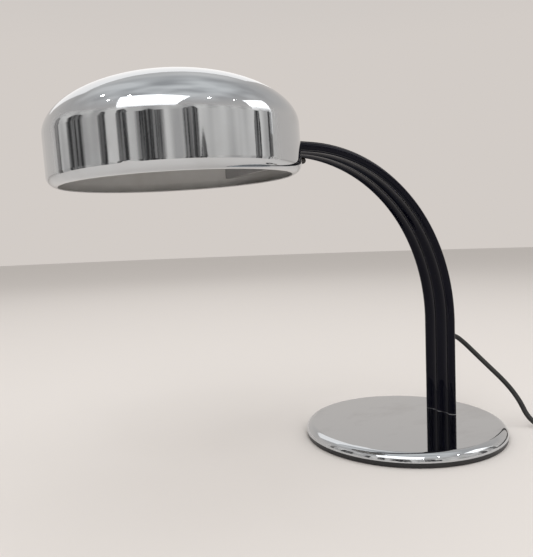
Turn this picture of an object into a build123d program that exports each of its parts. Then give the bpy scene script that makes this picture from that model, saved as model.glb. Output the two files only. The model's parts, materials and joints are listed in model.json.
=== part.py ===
from build123d import *
import math
import os

# An arc table lamp: a heavy chromed disc, a black fluted arm that rises from its rear
# edge and bends over in a quarter circle, and a low chromed shade that tilts on a hinge
# just inside its rear wall. The origin is the middle of the base on the table, +Z is up,
# the arm lies in the XZ plane, and the shade hangs out over -X.

# Base
base_radius = 120.0
lid_height = 9.0
lid_wall = 1.5
plinth_height = 6.0
plinth_inset = 0.8
plinth_wall = 3.9
plinth_flange = 7.0
plinth_spigot_height = 2.0
plinth_spigot_wall = 2.4
rest_gap = 0.8
felt_thickness = 2.0
plate_thickness = 1.2
weight_fillet = 6.0
plate_screw_circle = 80.0
plate_screw_count = 3
plate_screw_diameter = 4.0
plate_screw_length = 7.0

# Arm
arm_foot_x = 65.0
arm_rise = 115.5
arm_bend_radius = 207.0
arm_reach = 247.0
arm_end_setback = 9.0
arm_width = 46.6
arm_thickness = 10.6
bead_depth = 5.0
bead_height = 8.2
ridge_width = 1.4
flute_depth = 2.6
groove_depth = 0.95
groove_width = 1.8
port_diameter = 4.6
port_inset = 1.3
wire_channel = 5.0
wire_diameter = 2.2
wire_pitch = 2.4

# Foot screws, from below through the weight into the arm's screw ports
foot_screw_length = 27.0
foot_head_diameter = 8.5
foot_head_height = 4.5
foot_washer_diameter = 10.0
foot_washer_thickness = 1.0
foot_pocket_diameter = 11.0
foot_pocket_depth = 6.5
socket_size = 3.5
socket_depth = 2.4

# Mains cord
cord_diameter = 6.2
cord_exit_height = 111.0
gland_flange_diameter = 12.0
gland_flange_thickness = 3.0
gland_neck_diameter = 9.6
gland_tip_diameter = 8.0
gland_length = 6.0
sheath_start = 1.4
lead_exit_run = 12.0
lead_landing_run = 32.0
coil_radius = 49.0
coil_pitch = 8.0
coil_half_turns = 6
layer_clearance = 0.5
coil_centre = (196.0, -140.0)
coil_turned = -180.0
tail_run = 16.0

# Plug
plug_width = 35.3
plug_height = 13.7
plug_length = 36.0
plug_shoulder = 18.0
plug_neck_length = 4.0
plug_neck_width = 13.0
plug_corner = 2.0
plug_edge = 3.0
pin_diameter = 4.0
pin_length = 19.0
pin_spacing = 18.6
pin_tip = 0.8

# Hinge at the head of the arm
hinge_inset = 14.0
hinge_rise = 34.0
shade_tilt = 2.25
hinge_bolt_diameter = 6.0
lug_inner = 5.0
lug_outer = 12.0
end_flange = 3.5
end_wire_hole = 7.0
end_screw_head = 8.0
end_screw_length = 15.0
spacer_diameter = 10.0
friction_washer_thickness = 0.7
friction_washer_diameter = 11.0
hinge_head_size = 10.0
hinge_head_height = 4.0
spring_washer_diameter = 10.4
spring_washer_height = 1.3
spring_washer_split = 1.0
hinge_nut_height = 4.8
hinge_bolt_tail = 0.8

# Shade
shade_radius = 118.5
shade_height = 99.0
dome_height = 54.0
lip_radius = 9.3
shade_wall = 1.0
slot_clearance = 1.2
slot_corner = 3.0
tilt_down = 3.0
tilt_up = 20.0

# Partition and hinge bracket inside the shade
partition_front = 14.0
partition_sheet = 1.2
partition_drop = 24.0
partition_hem = 5.0
partition_gap = 0.4
bracket_sheet = 2.0
bracket_bottom = 9.0
bracket_height = 19.0
bracket_top = 28.0
bracket_corner = 2.6
flange_reach = 47.0
shade_screw_angle = 20.5
shade_screw_diameter = 4.0
shade_screw_head = 7.0
shade_screw_head_height = 2.2
shade_screw_taper = 30.0
shade_screw_length = 7.0
shade_nut_size = 7.0
shade_nut_height = 3.0
rivet_diameter = 3.2
rivet_head_diameter = 6.0
rivet_head_height = 1.2
rivet_side = 18.0
rivet_drop = 4.0

# Lampholder and bulb
holder_rise = 18.0
nipple_diameter = 10.0
nipple_bore = 7.5
nipple_tail = 3.5
nipple_engagement = 7.0
nipple_nut_size = 14.0
nipple_nut_height = 2.5
holder_radius = 19.5
holder_wall = 2.0
holder_cap_length = 21.0
holder_cap_floor = 3.0
holder_boss_radius = 8.0
holder_shell_length = 24.0
holder_shell_tip = 17.0
insulator_height = 9.0
thread_shell_radius = 14.0
thread_shell_wall = 0.4
thread_shell_length = 22.0
contact_rise = 4.0
contact_reach = 8.0
contact_sheet = 0.5
contact_width = 6.0
bulb_radius = 30.0
bulb_length = 105.0
bulb_wall = 0.8
bulb_neck_start = 19.0
bulb_neck_end = 28.0
bulb_flare_angle = 48.0
bulb_cap_radius = 13.2
bulb_cap_start = 4.0
bulb_cap_wall = 0.4
bulb_thread_turns = 5
bulb_thread_pitch = 3.6
bulb_thread_depth = 0.7
bulb_cap_rim = 3.0
bulb_contact_radius = 4.8
bulb_contact_height = 1.5

# Terminal block on the rear of the partition
block_depth = 10.0
block_width = 17.0
block_height = 14.0
block_gap = 9.0
block_pole_pitch = 8.5
block_screw_diameter = 3.4
block_screw_depth = 1.5

# Toggle switch under the arm
switch_drop = 14.0
switch_depth = 15.0
switch_width = 12.0
switch_height = 12.6
switch_seat = 0.2
switch_edge = 1.0
switch_contact_length = 3.0
switch_contact_width = 6.0
switch_contact_sheet = 0.8
switch_contact_pitch = 5.2
switch_collar_diameter = 6.0
switch_collar_bore = 4.8
switch_collar_length = 5.0
switch_nut_size = 8.0
switch_nut_height = 2.0
lever_pivot = 1.5
lever_swing = 12.0
lever_length = 26.6
lever_ball_diameter = 4.2
lever_root_diameter = 2.6
lever_root_length = 6.0
lever_neck_diameter = 4.6
lever_neck_place = 11.0
lever_tip_diameter = 7.0

# Wires inside the shade
head_wire_diameter = 2.2
head_wire_pitch = 2.6
head_wire_start = 9.0
head_wire_lane = 2.5
head_wire_bend = 4.0
switch_wire_lane = 9.2
switch_wire_bend = 2.0

# Clearances
running_fit = 0.05
screw_fit = 0.15
hole_fit = 0.3
sheet_fit = 0.05
assembly_gap = 0.3

# Heights and places that follow from the sizes above
lid_top = plinth_height + lid_height
weight_bottom = felt_thickness + plate_thickness
weight_top = lid_top - lid_wall
plinth_radius = base_radius - plinth_inset
weight_radius = plinth_radius - plinth_wall - assembly_gap
plate_radius = plinth_radius - plinth_wall - plinth_flange - assembly_gap
ridge_place = arm_width / 2 - bead_depth
port_place = ridge_place - port_inset
screw_diameter = port_diameter - 2 * screw_fit
bend_start = lid_top + arm_rise
hinge_x = arm_foot_x - arm_reach
hinge_z = bend_start + arm_bend_radius
arm_end_x = hinge_x + arm_end_setback
arm_back_x = arm_foot_x + arm_thickness / 2
bend_end_x = arm_foot_x - arm_bend_radius
axis_inset = shade_radius - hinge_inset
inner_radius = shade_radius - shade_wall
wall_top = shade_height - dome_height
cheek_inner = arm_width / 2 + friction_washer_thickness + 2 * running_fit
cheek_outer = cheek_inner + bracket_sheet
bracket_front = partition_front - partition_sheet
bracket_back = bracket_front - bracket_sheet

# The shade and all that tilts with it are laid out from the hinge axis, with x to the
# rear and z along the shade's axis, and stand turned by the tilt seen at rest.
head = Location((hinge_x, 0, hinge_z), (0, -shade_tilt, 0))
shade_place = head * Location((-axis_inset, 0, -hinge_rise))

os.makedirs("parts", exist_ok=True)


def in_head(plane):
    """A plane given from the hinge axis, placed on the tilted head."""
    return Plane(head * plane.location)


def in_shade(plane):
    """A plane given from the middle of the shade's mouth."""
    return Plane(shade_place * plane.location)


def across(y):
    """A plane on the head, square to the hinge axis and facing +Y."""
    return in_head(Plane(origin=(0, y, 0), x_dir=(1, 0, 0), z_dir=(0, 1, 0)))


def rearward(x, z=0.0):
    """A plane on the head that faces the rear, with its own x to the side and y up."""
    return in_head(Plane(origin=(x, 0, z), x_dir=(0, 1, 0), z_dir=(1, 0, 0)))


def bend_radii(points):
    """Each bend takes 0.45 of its shorter run, which sets the widest arc it can hold."""
    radii = []
    for before, corner, after in zip(points, points[1:], points[2:]):
        run_in = Vector(*corner) - Vector(*before)
        run_out = Vector(*after) - Vector(*corner)
        half_turn = math.radians(run_in.get_angle(run_out) / 2)
        radii.append(0.45 * min(run_in.length, run_out.length) / math.tan(half_turn))
    return radii


shade_axis = Axis(in_shade(Plane.XY).origin, in_shade(Plane.XY).z_dir)
shade_section = in_shade(Plane(origin=(0, 0, 0), x_dir=(-1, 0, 0), z_dir=(0, 1, 0)))

# Felt pad and bottom plate
with BuildPart() as felt_pad:
    with BuildSketch():
        Circle(plate_radius)
    extrude(amount=felt_thickness)

felt_pad.part.label = "felt_pad"
export_step(felt_pad.part, "parts/felt_pad.step")

with BuildPart() as bottom_plate:
    with BuildSketch(Plane.XY.offset(felt_thickness)):
        Circle(plate_radius)
    extrude(amount=plate_thickness)
    with Locations(Plane.XY.offset(felt_thickness).reverse()):
        with PolarLocations(plate_screw_circle, plate_screw_count):
            CounterSinkHole(
                radius=plate_screw_diameter / 2 + screw_fit,
                counter_sink_radius=plate_screw_diameter / 2 + plate_thickness,
                depth=plate_thickness,
            )

bottom_plate.part.label = "bottom_plate"
export_step(bottom_plate.part, "parts/bottom_plate.step")

with BuildPart() as plate_screws:
    with Locations((0, 0, felt_thickness)):
        with PolarLocations(plate_screw_circle, plate_screw_count):
            Cone(
                plate_screw_diameter / 2 + plate_thickness - screw_fit,
                plate_screw_diameter / 2,
                plate_thickness - screw_fit,
                align=(Align.CENTER, Align.CENTER, Align.MIN),
            )
            Cylinder(
                plate_screw_diameter / 2,
                plate_screw_length,
                align=(Align.CENTER, Align.CENTER, Align.MIN),
            )

plate_screws.part.label = "plate_screws"
export_step(plate_screws.part, "parts/plate_screws.step")

# Cast weight under the lid
foot_places = ((arm_foot_x, port_place), (arm_foot_x, -port_place))

with BuildPart() as base_weight:
    with BuildSketch(Plane.XY.offset(weight_bottom)):
        Circle(weight_radius)
    extrude(amount=weight_top - weight_bottom)
    fillet(base_weight.edges().group_by(Axis.Z)[-1], weight_fillet)
    with Locations(Plane.XY.offset(weight_bottom).reverse()):
        with PolarLocations(plate_screw_circle, plate_screw_count):
            Hole(plate_screw_diameter / 2 + screw_fit, depth=plate_screw_length)
        with Locations(*foot_places):
            CounterBoreHole(
                radius=screw_diameter / 2 + hole_fit,
                counter_bore_radius=foot_pocket_diameter / 2,
                counter_bore_depth=foot_pocket_depth,
            )

base_weight.part.label = "base_weight"
export_step(base_weight.part, "parts/base_weight.step")

# Moulded plinth: a ring with a shelf under the weight and a spigot inside the lid
wall_inside = plinth_radius - plinth_wall
shelf_inside = wall_inside - plinth_flange
spigot_outside = wall_inside + plinth_spigot_wall

with BuildPart() as plinth:
    with BuildSketch(Plane.XZ):
        with BuildLine():
            Polyline(
                (shelf_inside, rest_gap),
                (plinth_radius, rest_gap),
                (plinth_radius, plinth_height),
                (spigot_outside, plinth_height),
                (spigot_outside, plinth_height + plinth_spigot_height),
                (wall_inside, plinth_height + plinth_spigot_height),
                (wall_inside, weight_bottom),
                (shelf_inside, weight_bottom),
                close=True,
            )
        make_face()
    revolve(axis=Axis.Z)

plinth.part.label = "plinth"
export_step(plinth.part, "parts/plinth.step")

# Chromed lid: a flat disc whose edge turns down in a full quarter round
flat_radius = base_radius - lid_height
rim_inside = base_radius - lid_wall

with BuildPart() as base_lid:
    with BuildSketch(Plane.XZ):
        with BuildLine():
            Line((0, lid_top), (flat_radius, lid_top))
            RadiusArc((flat_radius, lid_top), (base_radius, plinth_height), lid_height)
            Line((base_radius, plinth_height), (rim_inside, plinth_height))
            RadiusArc(
                (rim_inside, plinth_height), (flat_radius, weight_top), lid_wall - lid_height
            )
            Line((flat_radius, weight_top), (0, weight_top))
            Line((0, weight_top), (0, lid_top))
        make_face()
    revolve(axis=Axis.Z)
    with Locations(Plane.XY.offset(lid_top)):
        with Locations(*foot_places):
            Hole(screw_diameter / 2 + hole_fit, depth=lid_wall)

base_lid.part.label = "base_lid"
export_step(base_lid.part, "parts/base_lid.step")

# Foot screws and their washers
washer_bottom = weight_bottom + foot_pocket_depth - foot_washer_thickness
head_bottom = washer_bottom - foot_head_height

with BuildPart() as foot_screws:
    with BuildSketch(Plane.XY.offset(head_bottom)):
        with Locations(*foot_places):
            Circle(foot_head_diameter / 2)
    extrude(amount=foot_head_height)
    with BuildSketch(Plane.XY.offset(washer_bottom)):
        with Locations(*foot_places):
            Circle(screw_diameter / 2)
    extrude(amount=foot_screw_length)
    with BuildSketch(Plane.XY.offset(head_bottom)):
        with Locations(*foot_places):
            RegularPolygon(socket_size / 2, 6, major_radius=False)
    extrude(amount=socket_depth, mode=Mode.SUBTRACT)

foot_screws.part.label = "foot_screws"
export_step(foot_screws.part, "parts/foot_screws.step")

with BuildPart() as foot_washers:
    with BuildSketch(Plane.XY.offset(washer_bottom)):
        with Locations(*foot_places):
            Circle(foot_washer_diameter / 2)
            Circle(screw_diameter / 2 + screw_fit, mode=Mode.SUBTRACT)
    extrude(amount=foot_washer_thickness)

foot_washers.part.label = "foot_washers"
export_step(foot_washers.part, "parts/foot_washers.step")

# Arm section: two flutes on each wide face between three ridges, a bead along each edge
half = arm_thickness / 2
tip = ridge_width / 2
ridge_start = ridge_place - tip
ridge_end = ridge_place + tip / 2
bead_root = (bead_height / 2, ridge_place + groove_width)

with BuildSketch() as arm_outline:
    with BuildLine():
        Line((half, 0), (half, tip))
        ThreePointArc(
            (half, tip), (half - flute_depth, ridge_place / 2), (half, ridge_start)
        )
        Line((half, ridge_start), (half, ridge_end))
        ThreePointArc(
            (half, ridge_end), (half - groove_depth, ridge_place + groove_depth), bead_root
        )
        ThreePointArc(bead_root, (0, arm_width / 2), (-bead_root[0], bead_root[1]))
        ThreePointArc(
            (-bead_root[0], bead_root[1]),
            (groove_depth - half, ridge_place + groove_depth),
            (-half, ridge_end),
        )
        Line((-half, ridge_end), (-half, ridge_start))
        ThreePointArc(
            (-half, ridge_start), (flute_depth - half, ridge_place / 2), (-half, tip)
        )
        Line((-half, tip), (-half, 0))
        Line((-half, 0), (half, 0))
    make_face()
    mirror(about=Plane.XZ)

with BuildSketch() as arm_section:
    add(arm_outline.sketch)
    Circle(wire_channel / 2, mode=Mode.SUBTRACT)
    with Locations((0, port_place), (0, -port_place)):
        Circle(port_diameter / 2, mode=Mode.SUBTRACT)

# The arm's three stretches: straight up, a quarter circle, straight out to the hinge
foot_plane = Plane((arm_foot_x, 0, lid_top))
bend_plane = Plane((arm_foot_x, 0, bend_start))
reach_plane = Plane(origin=(bend_end_x, 0, hinge_z), x_dir=(0, 0, 1), z_dir=(-1, 0, 0))
end_plane = Plane(origin=(arm_end_x, 0, hinge_z), x_dir=(0, 0, 1), z_dir=(-1, 0, 0))
bend_axis = Axis((bend_end_x, 0, bend_start), (0, -1, 0))
gland_plane = Plane((arm_back_x, 0, cord_exit_height), x_dir=(0, 1, 0), z_dir=(1, 0, 0))

with BuildPart() as arm:
    with BuildSketch(foot_plane):
        add(arm_section.sketch)
    extrude(amount=arm_rise)
    with BuildSketch(bend_plane):
        add(arm_section.sketch)
    revolve(axis=bend_axis, revolution_arc=90)
    with BuildSketch(reach_plane):
        add(arm_section.sketch)
    extrude(amount=bend_end_x - arm_end_x)
    # Seat for the gland, cut through the rear ridge into the wire channel
    with BuildSketch(gland_plane):
        Circle(gland_flange_diameter / 2 + sheet_fit)
    extrude(amount=-flute_depth, mode=Mode.SUBTRACT)
    with BuildSketch(gland_plane):
        Circle(cord_diameter / 2 + sheet_fit)
    extrude(amount=-arm_thickness / 2, mode=Mode.SUBTRACT)

arm.part.label = "arm"
export_step(arm.part, "parts/arm.step")

# Two insulated wires in the arm's channel, from the cord's entry to the arm's end
with BuildSketch() as wire_pair:
    with Locations((0, wire_pitch / 2), (0, -wire_pitch / 2)):
        Circle(wire_diameter / 2)

with BuildPart() as arm_wires:
    with BuildSketch(Plane((arm_foot_x, 0, cord_exit_height))):
        add(wire_pair.sketch)
    extrude(amount=bend_start - cord_exit_height)
    with BuildSketch(bend_plane):
        add(wire_pair.sketch)
    revolve(axis=bend_axis, revolution_arc=90)
    with BuildSketch(reach_plane):
        add(wire_pair.sketch)
    extrude(amount=bend_end_x - arm_end_x + end_flange)

arm_wires.part.label = "arm_wires"
export_step(arm_wires.part, "parts/arm_wires.step")

# Cord gland: a rubber grommet with a short tapered neck
gland_tip_x = arm_back_x + gland_length
gland_section = Plane(
    origin=(arm_back_x - flute_depth, 0, cord_exit_height), x_dir=(1, 0, 0), z_dir=(0, -1, 0)
)

with BuildPart() as cord_gland:
    with BuildSketch(gland_section):
        with BuildLine():
            Polyline(
                (0, cord_diameter / 2 + sheet_fit),
                (0, gland_flange_diameter / 2),
                (gland_flange_thickness, gland_flange_diameter / 2),
                (gland_flange_thickness, gland_neck_diameter / 2),
                (flute_depth + gland_length, gland_tip_diameter / 2),
                (flute_depth + gland_length, cord_diameter / 2 + sheet_fit),
                close=True,
            )
        make_face()
    revolve(axis=Axis(gland_section.origin, gland_section.x_dir))

cord_gland.part.label = "cord_gland"
export_step(cord_gland.part, "parts/cord_gland.step")

with BuildPart() as cord_end:
    with BuildSketch(gland_plane.offset(gland_length)):
        Circle(cord_diameter / 2)
    extrude(amount=-(gland_length + arm_thickness / 2 - sheath_start))

cord_end.part.label = "cord_end"
export_step(cord_end.part, "parts/cord_end.step")

# Block screwed to the arm's end, with two lugs for the hinge bolt
lug_radius = arm_thickness / 2
end_face_x = arm_end_x - end_flange
end_face = end_plane.offset(end_flange)


def hinge_side(y):
    """A plane on the arm's side of the hinge, facing +Y, with its origin on the axis."""
    return Plane(origin=(hinge_x, y, hinge_z), x_dir=(1, 0, 0), z_dir=(0, 1, 0))


with BuildPart() as arm_end_block:
    with BuildSketch(end_plane):
        add(arm_outline.sketch)
        Circle(end_wire_hole / 2, mode=Mode.SUBTRACT)
    extrude(amount=end_flange)
    for lug_start in (lug_inner, -lug_outer):
        with BuildSketch(hinge_side(lug_start)):
            Circle(lug_radius)
            with Locations(((end_face_x - hinge_x) / 2, 0)):
                Rectangle(end_face_x - hinge_x, 2 * lug_radius)
        extrude(amount=lug_outer - lug_inner)
    with BuildSketch(hinge_side(-lug_outer)):
        Circle(hinge_bolt_diameter / 2 + running_fit)
    extrude(amount=2 * lug_outer, mode=Mode.SUBTRACT)
    with Locations(end_face):
        with Locations((0, port_place), (0, -port_place)):
            CounterSinkHole(
                radius=screw_diameter / 2 + screw_fit,
                counter_sink_radius=end_screw_head / 2,
                depth=end_flange,
            )

arm_end_block.part.label = "arm_end_block"
export_step(arm_end_block.part, "parts/arm_end_block.step")

end_head_height = (end_screw_head - screw_diameter) / 2 - screw_fit

with BuildPart() as arm_end_screws:
    with Locations(end_face):
        with Locations((0, port_place), (0, -port_place)):
            Cone(
                screw_diameter / 2,
                screw_diameter / 2 + end_head_height,
                end_head_height,
                align=(Align.CENTER, Align.CENTER, Align.MAX),
            )
            Cylinder(
                screw_diameter / 2,
                end_screw_length,
                align=(Align.CENTER, Align.CENTER, Align.MAX),
            )

arm_end_screws.part.label = "arm_end_screws"
export_step(arm_end_screws.part, "parts/arm_end_screws.step")

with BuildPart() as hinge_spacers:
    for spacer_start in (lug_outer, -arm_width / 2):
        with BuildSketch(hinge_side(spacer_start)):
            Circle(spacer_diameter / 2)
            Circle(hinge_bolt_diameter / 2 + running_fit, mode=Mode.SUBTRACT)
        extrude(amount=arm_width / 2 - lug_outer)

hinge_spacers.part.label = "hinge_spacers"
export_step(hinge_spacers.part, "parts/hinge_spacers.step")

# Hinge bolt with its washers and nut
nut_start = cheek_outer + spring_washer_height
bolt_end = nut_start + hinge_nut_height + hinge_bolt_tail

with BuildPart() as hinge_bolt:
    with BuildSketch(across(-cheek_outer)):
        Circle(hinge_bolt_diameter / 2)
    extrude(amount=cheek_outer + bolt_end)
    with BuildSketch(across(-cheek_outer - hinge_head_height)):
        RegularPolygon(hinge_head_size / 2, 6, major_radius=False)
    extrude(amount=hinge_head_height)

hinge_bolt.part.label = "hinge_bolt"
export_step(hinge_bolt.part, "parts/hinge_bolt.step")

with BuildPart() as hinge_nut:
    with BuildSketch(across(nut_start)):
        RegularPolygon(hinge_head_size / 2, 6, major_radius=False)
        Circle(hinge_bolt_diameter / 2 + running_fit, mode=Mode.SUBTRACT)
    extrude(amount=hinge_nut_height)

hinge_nut.part.label = "hinge_nut"
export_step(hinge_nut.part, "parts/hinge_nut.step")

with BuildPart() as spring_washer:
    with BuildSketch(across(cheek_outer)):
        Circle(spring_washer_diameter / 2)
        Circle(hinge_bolt_diameter / 2 + screw_fit, mode=Mode.SUBTRACT)
        with Locations((0, spring_washer_diameter / 2)):
            Rectangle(spring_washer_split, spring_washer_diameter, mode=Mode.SUBTRACT)
    extrude(amount=spring_washer_height)

spring_washer.part.label = "spring_washer"
export_step(spring_washer.part, "parts/spring_washer.step")

with BuildPart() as friction_washers:
    for washer_start in (arm_width / 2 + running_fit, running_fit - cheek_inner):
        with BuildSketch(across(washer_start)):
            Circle(friction_washer_diameter / 2)
            Circle(hinge_bolt_diameter / 2 + running_fit, mode=Mode.SUBTRACT)
        extrude(amount=friction_washer_thickness)

friction_washers.part.label = "friction_washers"
export_step(friction_washers.part, "parts/friction_washers.step")

# Shade: spun from one sheet, with a rolled-in lip, a slot for the arm at the rear and
# holes for the switch and the bracket screws
slot_down = math.radians(tilt_down + shade_tilt)
slot_up = math.radians(tilt_up - shade_tilt)
slot_half = arm_thickness / 2 + slot_clearance
slot_top = (slot_half + hinge_inset * math.sin(slot_up)) / math.cos(slot_up)
slot_bottom = -(slot_half + hinge_inset * math.sin(slot_down)) / math.cos(slot_down)
slot_width = arm_width + 2 * slot_clearance
shade_screw_planes = []
for side in (-1, 1):
    turn = math.radians(side * shade_screw_angle)
    outward = (math.cos(turn), math.sin(turn), 0)
    on_wall = (
        shade_radius * math.cos(turn),
        shade_radius * math.sin(turn),
        hinge_rise + bracket_height / 2 - bracket_bottom,
    )
    shade_screw_planes.append(in_shade(Plane(origin=on_wall, z_dir=outward)))

with BuildPart() as shade:
    with BuildSketch(shade_section):
        with BuildLine():
            lip_inside = shade_radius - lip_radius
            RadiusArc((lip_inside, 0), (shade_radius, lip_radius), -lip_radius)
            Line((shade_radius, lip_radius), (shade_radius, wall_top))
            EllipticalCenterArc((0, wall_top), shade_radius, dome_height, arc_size=90)
            Line((0, shade_height), (0, shade_height - shade_wall))
            EllipticalCenterArc(
                (0, wall_top), inner_radius, dome_height - shade_wall, arc_size=90
            )
            Line((inner_radius, wall_top), (inner_radius, lip_radius))
            RadiusArc(
                (inner_radius, lip_radius), (lip_inside, shade_wall), lip_radius - shade_wall
            )
            Line((lip_inside, shade_wall), (lip_inside, 0))
        make_face()
    revolve(axis=shade_axis)
    with BuildSketch(rearward(0)):
        with Locations((0, (slot_top + slot_bottom) / 2)):
            RectangleRounded(slot_width, slot_top - slot_bottom, slot_corner)
        with Locations((0, -switch_drop)):
            Circle(switch_collar_diameter / 2 + screw_fit)
    extrude(amount=2 * hinge_inset, mode=Mode.SUBTRACT)
    for screw_plane in shade_screw_planes:
        with BuildSketch(screw_plane.offset(shade_wall)):
            Circle(shade_screw_diameter / 2 + screw_fit)
        extrude(amount=-4 * shade_wall, mode=Mode.SUBTRACT)

shade.part.label = "shade"
export_step(shade.part, "parts/shade.step")

# The hollow of the shade, drawn in from its wall by the gap around the partition
hollow_radius = inner_radius - partition_gap
hollow_dome = dome_height - shade_wall - partition_gap

with BuildPart() as shade_hollow:
    with BuildSketch(shade_section):
        with BuildLine():
            Line((0, 0), (hollow_radius, 0))
            Line((hollow_radius, 0), (hollow_radius, wall_top))
            EllipticalCenterArc((0, wall_top), hollow_radius, hollow_dome, arc_size=90)
            Line((0, wall_top + hollow_dome), (0, 0))
        make_face()
    revolve(axis=shade_axis)

# Partition across the rear of the shade, hemmed along its lower edge
rivet_places = ((rivet_side, -rivet_drop), (-rivet_side, -rivet_drop))

with BuildPart() as partition_plate:
    with BuildSketch(rearward(-partition_front)):
        with Locations((0, shade_height / 2 - partition_drop)):
            Rectangle(2 * shade_radius, shade_height)
    extrude(amount=partition_sheet)
    with BuildSketch(in_head(Plane.XY.offset(-partition_drop))):
        with Locations((partition_hem / 2 - partition_front, 0)):
            Rectangle(partition_hem, 2 * shade_radius)
    extrude(amount=partition_sheet)
    add(shade_hollow.part, mode=Mode.INTERSECT)
    with BuildSketch(rearward(-partition_front)):
        with Locations((0, holder_rise)):
            Circle(nipple_diameter / 2 + screw_fit)
        with Locations(*rivet_places):
            Circle(rivet_diameter / 2 + running_fit)
    extrude(amount=partition_sheet, mode=Mode.SUBTRACT)

partition_plate.part.label = "partition_plate"
export_step(partition_plate.part, "parts/partition_plate.step")

# Hinge bracket: a bent sheet with two cheeks, whose flanges follow the shade's wall
flange_radius = inner_radius - sheet_fit

with BuildPart() as hinge_bracket:
    with BuildSketch(in_head(Plane.XY.offset(-bracket_bottom))):
        with Locations((-axis_inset, 0)):
            Circle(flange_radius)
            Circle(flange_radius - bracket_sheet, mode=Mode.SUBTRACT)
        with Locations((0, flange_reach + shade_radius), (0, -flange_reach - shade_radius)):
            Rectangle(4 * shade_radius, 2 * shade_radius, mode=Mode.SUBTRACT)
        with Locations((-axis_inset - shade_radius, 0)):
            Rectangle(2 * shade_radius, 2 * shade_radius, mode=Mode.SUBTRACT)
        with Locations((hinge_inset - bracket_front, 0)):
            Rectangle(2 * hinge_inset, 2 * cheek_outer)
        with Locations((2 * hinge_inset - bracket_back, 0)):
            Rectangle(4 * hinge_inset, 2 * cheek_inner, mode=Mode.SUBTRACT)
        with Locations((-axis_inset, 0)):
            Circle(flange_radius, mode=Mode.INTERSECT)
    extrude(amount=bracket_height)
    with BuildSketch(rearward(-bracket_front)):
        with Locations((0, (bracket_top - bracket_bottom) / 2)):
            RectangleRounded(2 * cheek_outer, bracket_top + bracket_bottom, bracket_corner)
    extrude(amount=bracket_sheet)
    with BuildSketch(rearward(-bracket_front)):
        with Locations((0, holder_rise)):
            Circle(nipple_diameter / 2 + screw_fit)
        with Locations(*rivet_places):
            Circle(rivet_diameter / 2 + running_fit)
    extrude(amount=bracket_sheet, mode=Mode.SUBTRACT)
    with BuildSketch(across(-cheek_outer)):
        Circle(hinge_bolt_diameter / 2 + running_fit)
    extrude(amount=2 * cheek_outer, mode=Mode.SUBTRACT)
    for screw_plane in shade_screw_planes:
        with BuildSketch(screw_plane):
            Circle(shade_screw_diameter / 2 + screw_fit)
        extrude(amount=-(shade_wall + 2 * bracket_sheet), mode=Mode.SUBTRACT)

hinge_bracket.part.label = "hinge_bracket"
export_step(hinge_bracket.part, "parts/hinge_bracket.step")

with BuildPart() as bracket_rivets:
    with BuildSketch(rearward(-partition_front - rivet_head_height)):
        with Locations(*rivet_places):
            Circle(rivet_head_diameter / 2)
    extrude(amount=rivet_head_height)
    with BuildSketch(rearward(-partition_front)):
        with Locations(*rivet_places):
            Circle(rivet_diameter / 2)
    extrude(amount=partition_sheet + bracket_sheet)
    with BuildSketch(rearward(-bracket_back)):
        with Locations(*rivet_places):
            Circle(rivet_head_diameter / 2)
    extrude(amount=rivet_head_height)

bracket_rivets.part.label = "bracket_rivets"
export_step(bracket_rivets.part, "parts/bracket_rivets.step")

# Screws and nuts that hold the bracket's flanges to the shade's wall
shade_stack = shade_wall + sheet_fit + bracket_sheet + assembly_gap

with BuildPart() as shade_screws:
    for screw_plane in shade_screw_planes:
        with BuildSketch(screw_plane):
            Circle(shade_screw_head / 2)
        extrude(amount=shade_screw_head_height, taper=shade_screw_taper)
        with BuildSketch(screw_plane):
            Circle(shade_screw_diameter / 2)
        extrude(amount=-shade_screw_length)

shade_screws.part.label = "shade_screws"
export_step(shade_screws.part, "parts/shade_screws.step")

with BuildPart() as shade_screw_nuts:
    for screw_plane in shade_screw_planes:
        with BuildSketch(screw_plane.offset(-shade_stack)):
            RegularPolygon(shade_nut_size / 2, 6, major_radius=False)
            Circle(shade_screw_diameter / 2 + running_fit, mode=Mode.SUBTRACT)
        extrude(amount=-shade_nut_height)

shade_screw_nuts.part.label = "shade_screw_nuts"
export_step(shade_screw_nuts.part, "parts/shade_screw_nuts.step")

# Lampholder: its axis runs forward from the partition, with x along it and y up
holder_section = in_head(
    Plane(origin=(-partition_front, 0, holder_rise), x_dir=(-1, 0, 0), z_dir=(0, 1, 0))
)
holder_axis = Axis(holder_section.origin, holder_section.x_dir)
holder_end = holder_cap_length + holder_shell_length

with BuildPart() as holder_nipple:
    with BuildSketch(rearward(nipple_tail - bracket_back, holder_rise)):
        Circle(nipple_diameter / 2)
        Circle(nipple_bore / 2, mode=Mode.SUBTRACT)
    extrude(amount=-(nipple_tail + partition_front - bracket_back + nipple_engagement))

holder_nipple.part.label = "holder_nipple"
export_step(holder_nipple.part, "parts/holder_nipple.step")

with BuildPart() as nipple_nut:
    with BuildSketch(rearward(-bracket_back, holder_rise)):
        RegularPolygon(nipple_nut_size / 2, 6, major_radius=False)
        Circle(nipple_diameter / 2 + running_fit, mode=Mode.SUBTRACT)
    extrude(amount=nipple_nut_height)

nipple_nut.part.label = "nipple_nut"
export_step(nipple_nut.part, "parts/nipple_nut.step")

cap_bore = nipple_diameter / 2 + running_fit
cap_inside = holder_radius - holder_wall

with BuildPart() as holder_cap:
    with BuildSketch(holder_section):
        with BuildLine():
            Polyline(
                (0, cap_bore),
                (0, holder_radius - 2 * holder_wall),
                (2 * holder_wall, holder_radius),
                (holder_cap_length, holder_radius),
                (holder_cap_length, cap_inside),
                (holder_cap_floor, cap_inside),
                (holder_cap_floor, holder_boss_radius),
                (nipple_engagement, holder_boss_radius),
                (nipple_engagement, cap_bore),
                close=True,
            )
        make_face()
    revolve(axis=holder_axis)

holder_cap.part.label = "holder_cap"
export_step(holder_cap.part, "parts/holder_cap.step")

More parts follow.
